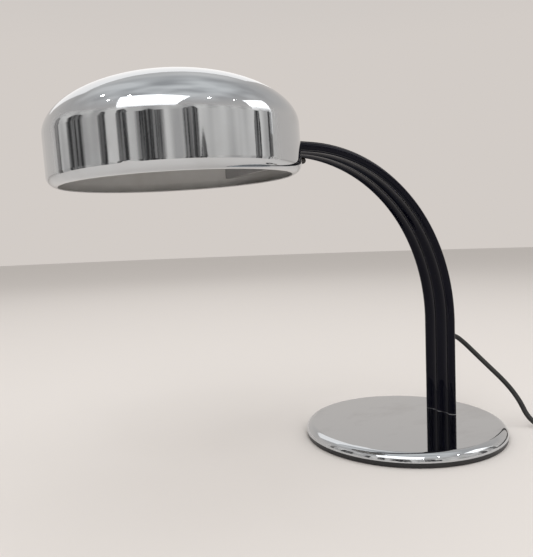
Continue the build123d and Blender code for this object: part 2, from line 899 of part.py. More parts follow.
shell_inside = thread_shell_radius + assembly_gap
shoulder = holder_cap_length + 2 * holder_wall

with BuildPart() as holder_shell:
    with BuildSketch(holder_section):
        with BuildLine():
            Polyline(
                (holder_cap_length, shell_inside),
                (holder_cap_length, holder_radius),
                (shoulder, holder_radius),
                (shoulder + holder_wall, holder_radius - holder_wall / 2),
                (holder_end, holder_shell_tip),
                (holder_end, shell_inside),
                close=True,
            )
        make_face()
    revolve(axis=holder_axis)

holder_shell.part.label = "holder_shell"
export_step(holder_shell.part, "parts/holder_shell.step")

with BuildPart() as holder_insulator:
    with BuildSketch(holder_section):
        with Locations((holder_cap_length - insulator_height, 0)):
            Rectangle(
                insulator_height, cap_inside - assembly_gap, align=(Align.MIN, Align.MIN)
            )
    revolve(axis=holder_axis)

holder_insulator.part.label = "holder_insulator"
export_step(holder_insulator.part, "parts/holder_insulator.step")

with BuildPart() as thread_shell:
    with BuildSketch(holder_section):
        with Locations((holder_cap_length, thread_shell_radius)):
            Rectangle(thread_shell_length, thread_shell_wall, align=(Align.MIN, Align.MAX))
    revolve(axis=holder_axis)

thread_shell.part.label = "thread_shell"
export_step(thread_shell.part, "parts/thread_shell.step")

bulb_start = holder_cap_length + contact_rise
contact_root = contact_reach - contact_sheet

with BuildPart() as centre_contact:
    with BuildSketch(holder_section):
        with BuildLine():
            ThreePointArc(
                (holder_cap_length, -contact_reach),
                (bulb_start, 0),
                (holder_cap_length, contact_reach),
            )
            Line((holder_cap_length, contact_reach), (holder_cap_length, contact_root))
            ThreePointArc(
                (holder_cap_length, contact_root),
                (bulb_start - contact_sheet, 0),
                (holder_cap_length, -contact_root),
            )
            Line((holder_cap_length, -contact_root), (holder_cap_length, -contact_reach))
        make_face()
    extrude(amount=contact_width / 2, both=True)

centre_contact.part.label = "centre_contact"
export_step(centre_contact.part, "parts/centre_contact.step")

# Bulb, screwed into the lampholder, pointing forward
contact_end = bulb_start + bulb_contact_height
cap_start = bulb_start + bulb_cap_start
cap_end = cap_start + bulb_thread_turns * bulb_thread_pitch + bulb_cap_rim
bulb_tip = bulb_start + bulb_length
thread_root = bulb_cap_radius - bulb_thread_depth
neck_radius = thread_root - bulb_cap_wall - sheet_fit
neck_start = bulb_start + bulb_neck_start
neck_end = bulb_start + bulb_neck_end

with BuildPart() as bulb_contact:
    with BuildSketch(holder_section):
        with Locations((bulb_start, 0)):
            Rectangle(
                bulb_contact_height, bulb_contact_radius, align=(Align.MIN, Align.MIN)
            )
    revolve(axis=holder_axis)

bulb_contact.part.label = "bulb_contact"
export_step(bulb_contact.part, "parts/bulb_contact.step")

with BuildPart() as bulb_insulator:
    with BuildSketch(holder_section):
        with BuildLine():
            Polyline(
                (contact_end, 0),
                (contact_end, bulb_contact_radius),
                (cap_start, thread_root - bulb_cap_wall),
                (cap_start, 0),
                close=True,
            )
        make_face()
    revolve(axis=holder_axis)

bulb_insulator.part.label = "bulb_insulator"
export_step(bulb_insulator.part, "parts/bulb_insulator.step")


def thread_line(radius):
    """One side of the rolled thread: a row of rounded crests, then the plain rim."""
    start = cap_start
    for crest in range(bulb_thread_turns):
        stop = start + bulb_thread_pitch
        ThreePointArc(
            (start, radius),
            ((start + stop) / 2, radius + bulb_thread_depth),
            (stop, radius),
        )
        start = stop
    Line((start, radius), (cap_end, radius))


with BuildPart() as bulb_cap:
    with BuildSketch(holder_section):
        with BuildLine():
            thread_line(thread_root)
            thread_line(thread_root - bulb_cap_wall)
            Line((cap_start, thread_root), (cap_start, thread_root - bulb_cap_wall))
            Line((cap_end, thread_root), (cap_end, thread_root - bulb_cap_wall))
        make_face()
    revolve(axis=holder_axis)

bulb_cap.part.label = "bulb_cap"
export_step(bulb_cap.part, "parts/bulb_cap.step")


def bulb_line(inset):
    """The pear outline of the bulb from its open neck to the axis, drawn in by inset."""
    radius = bulb_radius - inset
    neck = neck_radius - inset
    middle = bulb_tip - bulb_radius
    angle = math.radians(bulb_flare_angle)
    joint = (middle - radius * math.cos(angle), radius * math.sin(angle))
    Line((neck_start, neck), (neck_end, neck))
    Spline(
        (neck_end, neck),
        joint,
        tangents=((1, 0), (math.sin(angle), math.cos(angle))),
    )
    ThreePointArc(joint, (middle, radius), (middle + radius, 0))


with BuildPart() as bulb_glass:
    with BuildSketch(holder_section):
        with BuildLine():
            bulb_line(0)
            bulb_line(bulb_wall)
            Line((bulb_tip - bulb_wall, 0), (bulb_tip, 0))
            Line((neck_start, neck_radius), (neck_start, neck_radius - bulb_wall))
        make_face()
    revolve(axis=holder_axis)

bulb_glass.part.label = "bulb_glass"
export_step(bulb_glass.part, "parts/bulb_glass.step")

# Terminal block on the rear of the partition, beside the bracket
block_middle = cheek_outer + block_gap + block_width / 2
near_pole = block_middle - block_pole_pitch / 2
far_pole = block_middle + block_pole_pitch / 2

with BuildPart() as terminal_block:
    with BuildSketch(rearward(-bracket_front)):
        with Locations((block_middle, 0)):
            RectangleRounded(block_width, block_height, block_screw_depth)
    extrude(amount=block_depth)
    with BuildSketch(rearward(block_depth - bracket_front)):
        with Locations((near_pole, 0), (far_pole, 0)):
            Circle(block_screw_diameter / 2)
    extrude(amount=-block_screw_depth, mode=Mode.SUBTRACT)

terminal_block.part.label = "terminal_block"
export_step(terminal_block.part, "parts/terminal_block.step")

# Toggle switch below the arm: body inside the wall, collar and nut outside
switch_front = hinge_inset - shade_wall - switch_seat
switch_back = switch_front - switch_depth
contact_rows = (-switch_contact_pitch / 2, switch_contact_pitch / 2)

with BuildPart() as switch_body:
    with BuildSketch(rearward(switch_back, -switch_drop)):
        RectangleRounded(switch_width, switch_height, switch_edge)
    extrude(amount=switch_depth)

switch_body.part.label = "switch_body"
export_step(switch_body.part, "parts/switch_body.step")

with BuildPart() as switch_contacts:
    with BuildSketch(rearward(switch_back, -switch_drop)):
        with Locations((0, contact_rows[0]), (0, contact_rows[1])):
            Rectangle(switch_contact_width, switch_contact_sheet)
    extrude(amount=-switch_contact_length)

switch_contacts.part.label = "switch_contacts"
export_step(switch_contacts.part, "parts/switch_contacts.step")

with BuildPart() as switch_collar:
    with BuildSketch(rearward(switch_front, -switch_drop)):
        Circle(switch_collar_diameter / 2)
        Circle(switch_collar_bore / 2, mode=Mode.SUBTRACT)
    extrude(amount=hinge_inset + switch_collar_length - switch_front)

switch_collar.part.label = "switch_collar"
export_step(switch_collar.part, "parts/switch_collar.step")

with BuildPart() as switch_nut:
    with BuildSketch(rearward(hinge_inset, -switch_drop)):
        RegularPolygon(switch_nut_size / 2, 6, major_radius=False)
        Circle(switch_collar_diameter / 2 + running_fit, mode=Mode.SUBTRACT)
    extrude(amount=switch_nut_height)

switch_nut.part.label = "switch_nut"
export_step(switch_nut.part, "parts/switch_nut.step")

# Bat lever of the switch, thrown to the side, with x along the lever
lever_turn = math.radians(lever_swing)
lever_plane = in_head(
    Plane(
        origin=(hinge_inset + lever_pivot, 0, -switch_drop),
        x_dir=(math.cos(lever_turn), -math.sin(lever_turn), 0),
        z_dir=(0, 0, 1),
    )
)
ball_radius = lever_ball_diameter / 2
root_radius = lever_root_diameter / 2
tip_radius = lever_tip_diameter / 2
tip_start = lever_length - tip_radius
ball_joint = math.sqrt(ball_radius**2 - root_radius**2)

with BuildPart() as switch_lever:
    with BuildSketch(lever_plane):
        with BuildLine():
            RadiusArc((-ball_radius, 0), (ball_joint, root_radius), ball_radius)
            Line((ball_joint, root_radius), (lever_root_length, root_radius))
            Line((lever_root_length, root_radius), (lever_neck_place, lever_neck_diameter / 2))
            Line((lever_neck_place, lever_neck_diameter / 2), (tip_start, tip_radius))
            RadiusArc((tip_start, tip_radius), (lever_length, 0), tip_radius)
            Line((lever_length, 0), (-ball_radius, 0))
        make_face()
    revolve(axis=Axis(lever_plane.origin, lever_plane.x_dir))

switch_lever.part.label = "switch_lever"
export_step(switch_lever.part, "parts/switch_lever.step")

# Wires inside the shade: from the lampholder and from the switch to the terminal block
block_middle_x = block_depth / 2 - bracket_front
wire_routes = []
for pole, row in ((near_pole, -head_wire_pitch / 2), (far_pole, head_wire_pitch / 2)):
    wire_routes.append(
        (
            head_wire_bend,
            (-partition_front - head_wire_start, 0, holder_rise + row),
            (-head_wire_lane, 0, holder_rise + row),
            (block_middle_x, pole, holder_rise + row),
            (block_middle_x, pole, block_height / 2),
        )
    )
for pole, row in ((near_pole, contact_rows[1]), (far_pole, contact_rows[0])):
    wire_routes.append(
        (
            switch_wire_bend,
            (switch_back - switch_contact_length, 0, row - switch_drop),
            (-switch_wire_lane, 0, row - switch_drop),
            (block_middle_x, pole, row - switch_drop),
            (block_middle_x, pole, -block_height / 2),
        )
    )

with BuildPart() as head_wires:
    for bend, *corners in wire_routes:
        with BuildLine() as route:
            FilletPolyline(
                *[in_head(Plane(corner)).origin for corner in corners], radius=bend
            )
        with BuildSketch(Plane(route.line @ 0, z_dir=route.line % 0)):
            Circle(head_wire_diameter / 2)
        sweep()

head_wires.part.label = "head_wires"
export_step(head_wires.part, "parts/head_wires.step")

# Free cord: down from the gland, along the table to a put-away coil, then the plug
cord_rest = cord_diameter / 2
coil_turn = math.radians(coil_turned)
coil_outward = Vector(math.cos(coil_turn), math.sin(coil_turn), 0)
coil_forward = Vector(-math.sin(coil_turn), math.cos(coil_turn), 0)
coil_middle = Vector(*coil_centre, cord_rest)
layer_rise = Vector(0, 0, cord_diameter + layer_clearance)
coil_start = coil_middle + coil_outward * coil_radius
coil_end = coil_middle - coil_outward * coil_radius + layer_rise
lead_end = coil_start - coil_forward * cord_diameter
tail_start = coil_end - coil_forward * cord_diameter

# Out of the gland, down beside the arm in a slack curve, then flat on the table
lead_points = [
    (gland_tip_x, 0.0, cord_exit_height),
    (gland_tip_x + lead_exit_run, 0.0, cord_exit_height),
    (101.9, -2.8, 102.8),
    (112.0, -23.1, 81.0),
    (133.4, -59.9, 40.2),
    (135.0, -80.3, cord_rest),
    tuple(coil_start - coil_forward * lead_landing_run),
    tuple(lead_end),
]

with BuildPart() as cord_lead:
    with BuildLine() as lead_route:
        FilletPolyline(*lead_points, radius=bend_radii(lead_points))
    with BuildSketch(Plane(lead_route.line @ 0, z_dir=lead_route.line % 0)):
        Circle(cord_diameter / 2)
    sweep()

cord_lead.part.label = "cord_lead"
export_step(cord_lead.part, "parts/cord_lead.step")

# Coil: half turns that close in by half a pitch each on the lower layer, one half turn
# that climbs a layer, then half turns that open out again on top
half_radii = [coil_radius - coil_pitch / 2 * step for step in range(coil_half_turns + 1)]
half_radii = half_radii + half_radii[::-1]

with BuildPart() as cord_coil:
    with BuildLine() as coil_route:
        Line(lead_end, coil_start)
        here = coil_start
        for step in range(len(half_radii) - 1):
            side = -1 if step % 2 == 0 else 1
            there = coil_middle + coil_outward * (side * half_radii[step + 1])
            if step >= coil_half_turns:
                there = there + layer_rise
            bulge = coil_forward * (-side * (there - here).length / 2)
            ThreePointArc(here, (here + there) / 2 + bulge, there)
            here = there
        Line(coil_end, tail_start)
    with BuildSketch(Plane(lead_end, z_dir=coil_forward)):
        Circle(cord_diameter / 2)
    sweep()

cord_coil.part.label = "cord_coil"
export_step(cord_coil.part, "parts/cord_coil.step")

# Tail of the cord, easing down from the upper layer to the plug on the table
tail_way = coil_forward * -1
plug_drop = Vector(0, 0, plug_height / 2 - tail_start.Z)
tail_points = [
    tuple(tail_start),
    tuple(tail_start + tail_way * tail_run),
    tuple(tail_start + tail_way * (2 * tail_run) + plug_drop),
    tuple(tail_start + tail_way * (3 * tail_run) + plug_drop),
]
plug_entry = Vector(*tail_points[-1])

with BuildPart() as cord_tail:
    with BuildLine() as tail_route:
        FilletPolyline(*tail_points, radius=bend_radii(tail_points))
    with BuildSketch(Plane(tail_route.line @ 0, z_dir=tail_route.line % 0)):
        Circle(cord_diameter / 2)
    sweep()

cord_tail.part.label = "cord_tail"
export_step(cord_tail.part, "parts/cord_tail.step")

# Plug: a flat two-pin body, seen from above with y along the cord
plug_side = Vector(tail_way.Y, -tail_way.X, 0)
plug_plan = Plane(origin=plug_entry, x_dir=plug_side, z_dir=(0, 0, 1))
plug_face = Plane(origin=plug_entry + tail_way * plug_length, x_dir=plug_side, z_dir=tail_way)

with BuildPart() as plug_body:
    with BuildSketch(plug_plan) as plug_outline:
        with BuildLine():
            Polyline(
                (-plug_neck_width / 2, 0),
                (-plug_neck_width / 2, plug_neck_length),
                (-plug_width / 2, plug_shoulder),
                (-plug_width / 2, plug_length),
                (plug_width / 2, plug_length),
                (plug_width / 2, plug_shoulder),
                (plug_neck_width / 2, plug_neck_length),
                (plug_neck_width / 2, 0),
                close=True,
            )
        make_face()
        fillet(plug_outline.vertices(), plug_corner)
    extrude(amount=plug_height / 2, both=True)
    fillet(plug_body.edges().group_by(Axis.Z)[-1], plug_edge)
    fillet(plug_body.edges().group_by(Axis.Z)[0], plug_edge)

plug_body.part.label = "plug_body"
export_step(plug_body.part, "parts/plug_body.step")

with BuildPart() as plug_pins:
    with BuildSketch(plug_face):
        with Locations((pin_spacing / 2, 0), (-pin_spacing / 2, 0)):
            Circle(pin_diameter / 2)
    extrude(amount=pin_length - pin_tip)
    with BuildSketch(plug_face.offset(pin_length - pin_tip)):
        with Locations((pin_spacing / 2, 0), (-pin_spacing / 2, 0)):
            Circle(pin_diameter / 2)
    extrude(amount=pin_tip, taper=45)

plug_pins.part.label = "plug_pins"
export_step(plug_pins.part, "parts/plug_pins.step")

# What the free cord measures
samples = 1500
coil_wire = coil_route.wires()[0]
turns = [tuple(coil_wire @ (step / samples)) for step in range(samples + 1)]
apart = math.ceil(3 * cord_diameter / (coil_wire.length / samples))
closest = min(
    math.dist(turns[first], turns[second])
    for first in range(samples)
    for second in range(first + apart, samples + 1)
)
print("lead bend radii", [round(radius, 1) for radius in bend_radii(lead_points)])
print("tail bend radii", [round(radius, 1) for radius in bend_radii(tail_points)])
print("least gap between the coil's turns", round(closest - cord_diameter, 2))
for piece, route in (
    (cord_lead.part, lead_route),
    (cord_coil.part, coil_route),
    (cord_tail.part, tail_route),
):
    length = route.wires()[0].length
    filled = piece.volume / (math.pi * cord_rest**2 * length)
    print(piece.label, "length", round(length, 1), "filled", round(filled, 4))
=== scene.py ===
# %% [markdown]
# # An arc table lamp
# A heavy chromed disc carries a black extruded arm, which bends over in a quarter circle
# and holds a low chromed shade. The shapes come from the CAD model. This script gives each
# piece its surface, lays the mains lead as a real curve, and sets up light and camera.

import bmesh
import bpy
import json
import math
from mathutils import Matrix, Vector


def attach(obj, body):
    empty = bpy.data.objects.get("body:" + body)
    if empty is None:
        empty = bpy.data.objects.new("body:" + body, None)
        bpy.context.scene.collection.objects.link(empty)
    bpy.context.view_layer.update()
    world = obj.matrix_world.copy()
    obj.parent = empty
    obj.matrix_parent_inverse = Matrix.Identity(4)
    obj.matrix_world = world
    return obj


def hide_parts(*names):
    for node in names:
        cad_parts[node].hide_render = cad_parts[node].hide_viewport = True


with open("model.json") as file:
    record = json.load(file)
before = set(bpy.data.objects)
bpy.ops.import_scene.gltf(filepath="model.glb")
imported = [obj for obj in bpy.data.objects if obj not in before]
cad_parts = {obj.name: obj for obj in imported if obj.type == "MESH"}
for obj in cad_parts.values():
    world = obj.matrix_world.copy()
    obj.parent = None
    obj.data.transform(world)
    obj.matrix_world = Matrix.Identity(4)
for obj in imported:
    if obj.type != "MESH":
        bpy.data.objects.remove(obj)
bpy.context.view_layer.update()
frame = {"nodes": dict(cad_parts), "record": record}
nodes = frame["nodes"]
print("CAD nodes:", len(nodes))

# %% [markdown]
# ## The camera
# The photograph's viewpoint was solved from the outlines of the base, the shade and the
# arm. Its direction is turned into three axes here, because a small roll of the hand-held
# camera is easier to write as a tilted right-hand axis than as Euler angles.

# %% Camera
CAMERA_PLACE = Vector((-0.50996, -0.52972, 0.24153))
HEADING = 0.5425
PITCH_DOWN = 0.0643
ROLL = -0.0356
FOCAL_PIXELS = 592.1
LONG_SIDE_PIXELS = 557
SENSOR = 36.0

level = Vector((math.sin(HEADING), math.cos(HEADING), 0))
forward = level * math.cos(PITCH_DOWN) - Vector((0, 0, math.sin(PITCH_DOWN)))
right_level = Vector((math.cos(HEADING), -math.sin(HEADING), 0))
up_level = right_level.cross(forward)
right = right_level * math.cos(ROLL) + up_level * math.sin(ROLL)
up = right.cross(forward)

camera_data = bpy.data.cameras.new("camera")
camera_data.sensor_width = SENSOR
camera_data.lens = FOCAL_PIXELS / LONG_SIDE_PIXELS * SENSOR
camera_data.clip_start = 0.01
camera = bpy.data.objects.new("camera", camera_data)
bpy.context.scene.collection.objects.link(camera)
axes = Matrix((right, up, -forward)).transposed().to_4x4()
camera.matrix_world = Matrix.Translation(CAMERA_PLACE) @ axes
bpy.context.scene.camera = camera
print("lens: %.2f mm" % camera_data.lens)

# %% [markdown]
# ## The mains lead
# A round two-core lead leaves the back of the arm through a rubber gland, sags to the
# table and runs off to where the spare length is coiled. It is one NURBS curve: the
# control points pull on the line without being on it, which bends as a rubber sheath
# does. The bevel is one unit and each point's radius is the lead's, because Blender
# counts the point radius into a curve's bounding box.
# The coil's points follow half circles that close in by half a pitch each, climb a layer,
# and open out again.

# %% Route of the lead
CORD_DIAMETER = 0.0062
CORD_REST = CORD_DIAMETER / 2
CORD_EXIT = Vector((0.0763, 0, 0.111))
COIL_MIDDLE = Vector((0.196, -0.140, CORD_REST))
COIL_TURNED = math.radians(-180)
COIL_RADIUS = 0.049
COIL_PITCH = 0.008
COIL_HALF_TURNS = 6
COIL_POINTS = 8
LAYER_RISE = Vector((0, 0, CORD_DIAMETER + 0.0005))
EXIT_RUN = 0.012
LANDING_RUN = 0.032
TAIL_RUN = 0.016
PLUG_CENTRE = 0.00685

outward = Vector((math.cos(COIL_TURNED), math.sin(COIL_TURNED), 0))
onward = Vector((-math.sin(COIL_TURNED), math.cos(COIL_TURNED), 0))
coil_start = COIL_MIDDLE + outward * COIL_RADIUS
coil_end = COIL_MIDDLE - outward * COIL_RADIUS + LAYER_RISE

route = [
    CORD_EXIT,
    CORD_EXIT + Vector((EXIT_RUN, 0, 0)),
    Vector((0.1019, -0.0028, 0.1028)),
    Vector((0.1120, -0.0231, 0.0810)),
    Vector((0.1334, -0.0599, 0.0402)),
    Vector((0.1350, -0.0803, CORD_REST)),
    coil_start - onward * LANDING_RUN,
    coil_start - onward * CORD_DIAMETER,
]

radii = [COIL_RADIUS - COIL_PITCH / 2 * step for step in range(COIL_HALF_TURNS + 1)]
radii = radii + radii[::-1]
here = coil_start
for step in range(len(radii) - 1):
    side = -1 if step % 2 == 0 else 1
    there = COIL_MIDDLE + outward * (side * radii[step + 1])
    if step >= COIL_HALF_TURNS:
        there = there + LAYER_RISE
    middle = (here + there) / 2
    bulge = onward * (-side * (there - here).length / 2)
    for part in range(COIL_POINTS):
        angle = math.pi * part / COIL_POINTS
        route.append(middle + (here - middle) * math.cos(angle) + bulge * math.sin(angle))
    here = there

tail_start = coil_end - onward * CORD_DIAMETER
drop = Vector((0, 0, PLUG_CENTRE - tail_start.z))
route += [
    coil_end,
    tail_start,
    tail_start - onward * TAIL_RUN,
    tail_start - onward * (2 * TAIL_RUN) + drop,
    tail_start - onward * (3 * TAIL_RUN) + drop,
]
print("route points:", len(route))

cord_data = bpy.data.curves.new("mains_lead", "CURVE")
cord_data.dimensions = "3D"
cord_data.bevel_depth = 1.0
cord_data.bevel_resolution = 6
cord_data.resolution_u = 8
spline = cord_data.splines.new("NURBS")
spline.points.add(len(route) - 1)
for point, place in zip(spline.points, route):
    point.co = (*place, 1)
    point.radius = CORD_DIAMETER / 2
spline.order_u = 3
spline.use_endpoint_u = True
cord = bpy.data.objects.new("mains_lead", cord_data)
bpy.context.scene.collection.objects.link(cord)
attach(cord, "stand")
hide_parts("cord_lead", "cord_coil", "cord_tail")

# %% [markdown]
# ## Shader arithmetic
# A finish is easiest to read as a formula. `Value` wraps one output socket, so that
# `0.05 + 0.1 * smudge` adds its own Math nodes. `Graph` adds every other kind of node:
# settings first, then the sockets, by name or by number.


# %% Value and Graph
class Value:
    """One output socket, usable in arithmetic with numbers and other values."""

    def __init__(self, graph, socket):
        self.graph = graph
        self.socket = socket

    def __add__(self, other):
        return self.graph.maths("ADD", self, other)

    def __sub__(self, other):
        return self.graph.maths("SUBTRACT", self, other)

    def __rsub__(self, other):
        return self.graph.maths("SUBTRACT", other, self)

    def __mul__(self, other):
        return self.graph.maths("MULTIPLY", self, other)

    def __truediv__(self, other):
        return self.graph.maths("DIVIDE", self, other)

    def __lt__(self, other):
        return self.graph.maths("LESS_THAN", self, other)

    def __gt__(self, other):
        return self.graph.maths("GREATER_THAN", self, other)

    def __abs__(self):
        return self.graph.maths("ABSOLUTE", self)

    __radd__ = __add__
    __rmul__ = __mul__


class Graph:
    """A node tree that is filled by calls instead of by hand."""

    def __init__(self, tree):
        self.tree = tree

    def feed(self, socket, value):
        if isinstance(value, Value):
            self.tree.links.new(value.socket, socket)
        else:
            socket.default_value = value

    def node(self, kind, inputs, output=0, **settings):
        made = self.tree.nodes.new(kind)
        for name, setting in settings.items():
            setattr(made, name, setting)
        for name, value in inputs.items():
            self.feed(made.inputs[name], value)
        return Value(self, made.outputs[output])

    def maths(self, operation, *values):
        return self.node("ShaderNodeMath", dict(enumerate(values)), operation=operation)

    def place(self, output="Object"):
        return self.node("ShaderNodeTexCoord", {}, output=output)

    def stretch(self, vector, scale):
        return self.node("ShaderNodeMapping", {"Vector": vector, "Scale": scale})

    def noise(self, vector, scale, detail=3.0, rough=0.55):
        sockets = {"Vector": vector, "Scale": scale, "Detail": detail, "Roughness": rough}
        return self.node("ShaderNodeTexNoise", sockets)

    def between(self, value, low, high):
        """0 at low, 1 at high, and clamped outside."""
        sockets = {"Value": value, "From Min": low, "From Max": high}
        return self.node("ShaderNodeMapRange", sockets)

    def dot(self, first, second):
        sockets = {0: first, 1: second}
        return self.node("ShaderNodeVectorMath", sockets, "Value", operation="DOT_PRODUCT")

    def height(self, vector):
        return self.node("ShaderNodeSeparateXYZ", {"Vector": vector}, "Z")

    def mix(self, factor, first, second):
        sockets = {0: factor, 6: first, 7: second}
        return self.node("ShaderNodeMix", sockets, output=2, data_type="RGBA")

    def bump(self, height, depth):
        sockets = {"Height": height, "Distance": depth, "Strength": 1.0}
        return self.node("ShaderNodeBump", sockets)


class Finish(Graph):
    """A material: constants go straight onto the shader's sockets."""

    def __init__(self, name, colour, roughness, **constants):
        self.material = bpy.data.materials.new(name)
        self.material.use_nodes = True
        super().__init__(self.material.node_tree)
        self.shader = self.tree.nodes["Principled BSDF"]
        self.set("Base Color", (*colour, 1))
        self.set("Roughness", roughness)
        # coat_weight becomes Coat Weight, and ior becomes IOR
        for socket, value in constants.items():
            self.set(socket.replace("_", " ").title().replace("Ior", "IOR"), value)

    def set(self, socket, value):
        self.feed(self.shader.inputs[socket], value)


finishes = {}

# %% [markdown]
# ## Chrome
# Chrome plate is a near mirror. What makes it look used rather than drawn is that the
# mirror isn't even: finger marks and dried wipes raise the roughness in soft patches, and
# a cloth leaves hairline scratches. The patches add only a few hundredths of roughness, and
# the scratches are a few thousandths of a millimetre deep.

# %% Chrome
CHROME = (0.60, 0.625, 0.65)
CHROME_SMUDGED = (0.55, 0.57, 0.59)
WIPE_STRETCH = (14, 26, 20)
SCRATCH_STRETCH = (60, 2600, 340)
SCRATCH_DEPTH = 0.000004
DUST_GRAIN, DUST_FROM = 1400, 0.74
WIPES_FROM, WIPES_FULL = 0.52, 0.72
MIRROR_ROUGH, WIPE_ROUGH, DUST_ROUGH = 0.025, 0.05, 0.12


def chrome(name):
    """Make the parts of a chrome finish; the caller connects them."""
    made = Finish(name, CHROME, MIRROR_ROUGH, metallic=1.0)
    where = made.place()
    wipes = made.noise(made.stretch(where, WIPE_STRETCH), 1.0, detail=4.0)
    marks = made.between(wipes, WIPES_FROM, WIPES_FULL)
    dust = made.noise(where, DUST_GRAIN, detail=1.0) > DUST_FROM
    made.scratches = made.noise(made.stretch(where, SCRATCH_STRETCH), 1.0, detail=2.0)
    made.colour = made.mix(marks, (*CHROME, 1), (*CHROME_SMUDGED, 1))
    made.rough = MIRROR_ROUGH + WIPE_ROUGH * marks + DUST_ROUGH * dust
    finishes[name] = made
    return made


lid = chrome("chrome_lid")
lid.set("Base Color", lid.colour)
lid.set("Roughness", lid.rough)
lid.set("Normal", lid.bump(lid.scratches, SCRATCH_DEPTH))
print("lid nodes:", len(lid.tree.nodes))

# %% [markdown]
# ## The shade
# Outside it is the same chrome. Inside it is sprayed a satin grey, so that the bulb lights
# it evenly. Both sides are one solid, so the finish tells them apart by geometry: on the
# inner skin the normal points back toward the middle of the shade.

# %% Shade
SHADE_MIDDLE = (-0.2863, 0.0, 0.3294)
SHADE_PAINT = (0.54, 0.54, 0.535)
SHADE_PAINT_DUSTY = (0.47, 0.465, 0.45)
PAINT_ROUGH, PAINT_SPREAD = 0.42, 0.08
HAZE_GRAIN, HAZE_FROM, HAZE_FULL = 22, 0.45, 0.75
PEEL_GRAIN = 900
PEEL_TO_SCRATCH = 5.0

shade = chrome("chrome_shade")
where = shade.place()
from_middle = shade.node(
    "ShaderNodeVectorMath", {0: where, 1: SHADE_MIDDLE}, operation="SUBTRACT"
)
outwardness = shade.dot(from_middle, shade.place("Normal"))
inside = outwardness < 0.0
outside = 1.0 - inside
haze = shade.noise(where, HAZE_GRAIN, detail=5.0)
dusty = shade.between(haze, HAZE_FROM, HAZE_FULL)
paint = shade.mix(dusty, (*SHADE_PAINT, 1), (*SHADE_PAINT_DUSTY, 1))
peel = shade.noise(where, PEEL_GRAIN, detail=1.0)
relief = shade.scratches * outside + PEEL_TO_SCRATCH * peel * inside
shade.set("Base Color", shade.mix(inside, shade.colour, paint))
shade.set("Metallic", outside)
shade.set("Roughness", shade.rough * outside + inside * (PAINT_ROUGH + PAINT_SPREAD * haze))
shade.set("Normal", shade.bump(relief, SCRATCH_DEPTH))
print("shade nodes:", len(shade.tree.nodes))

# %% [markdown]
# ## The arm
# An aluminium extrusion carries die lines, fine straight streaks that run its whole
# length. The arm bends in the plane across Y, so a noise that changes fast along Y and
# hardly at all along X and Z gives lines that follow the bend by themselves. A thin clear
# coat over near black gives the paint its depth. The blue in the black and in the tint of
# its reflections is painted light, standing in for bluish light on the arm. A thin band at
# the bottom of the foot, where it stands on the lid, is painted lighter grey in patches.

# %% Arm
# The blue in this near black is painted light: it stands in for bluish light on the arm.
ARM_BLACK = (0.002, 0.002, 0.0055)
ARM_WORN = (0.03, 0.031, 0.034)
ARM_FOOT_GREY = (0.22, 0.22, 0.225)
# Lighter grey for a thin band at the bottom of the foot, and the height where that band ends.
ARM_FOOT_BAND_TOP = 0.0156
# Blue tint on the arm's reflections: a painted highlight colour, standing in for bluish light.
ARM_PAINTED_HIGHLIGHT_TINT = (0.82, 0.84, 1.0, 1)
ARM_ROUGH, LINE_ROUGH, SPECK_ROUGH = 0.03, 0.07, 0.15
LINE_STRETCH = (5, 1500, 5)
LINE_DEPTH = 0.00001
SPECK_GRAIN, SPECKS_FROM = 1900, 0.77
CLOUD_GRAIN = 35
FOOT_PATCH_GRAIN, FOOT_PATCH_FROM, FOOT_PATCH_FULL = 120, 0.4, 0.6

arm = Finish("black_arm", ARM_BLACK, ARM_ROUGH, specular_ior_level=0.12)
arm.set("Specular Tint", ARM_PAINTED_HIGHLIGHT_TINT)
arm.set("Coat Weight", 0.05)
arm.set("Coat Roughness", 0.02)
where = arm.place()
lines = arm.noise(arm.stretch(where, LINE_STRETCH), 1.0, detail=3.0)
cloud = arm.noise(where, CLOUD_GRAIN, detail=4.0)
specks = arm.noise(where, SPECK_GRAIN, detail=1.0) > SPECKS_FROM
foot = arm.height(where) < ARM_FOOT_BAND_TOP
painted = arm.mix(specks, (*ARM_BLACK, 1), (*ARM_WORN, 1))
# The band along the bottom of the foot turns lighter grey in broken patches.
foot_patches = arm.between(arm.noise(where, FOOT_PATCH_GRAIN), FOOT_PATCH_FROM, FOOT_PATCH_FULL)
foot_band = arm.mix(foot_patches, (*ARM_WORN, 1), (*ARM_FOOT_GREY, 1))
arm.set("Base Color", arm.mix(foot, painted, foot_band))
arm.set("Roughness", ARM_ROUGH + LINE_ROUGH * lines * cloud + SPECK_ROUGH * specks)
arm.set("Normal", arm.bump(lines, LINE_DEPTH))
finishes["black_arm"] = arm
print("arm nodes:", len(arm.tree.nodes))

# %% [markdown]
# ## Moulded, rubber and cast surfaces
# Most small pieces differ only in colour, gloss, and the size and depth of their grain, so
# one function makes them all. `patch` is the second colour that a slow noise brings in,
# `grain` is about how many bumps there are to the metre, and `depth` is how deep they are
# in metres.


# %% Grained finishes
def grained(name, colour, patch, roughness, spread, grain, depth, **constants):
    made = Finish(name, colour, roughness, **constants)
    where = made.place()
    cloud = made.noise(where, 45, detail=5.0)
    bumps = made.noise(where, grain, detail=2.0)
    patches = made.between(cloud, 0.4, 0.7)
    made.set("Base Color", made.mix(patches, (*colour, 1), (*patch, 1)))
    made.set("Roughness", roughness - spread / 2 + spread * cloud)
    made.set("Normal", made.bump(bumps, depth))
    finishes[name] = made


# %% [markdown]
# Each row gives the colour, the patch, the roughness and its spread, the grain and its depth.

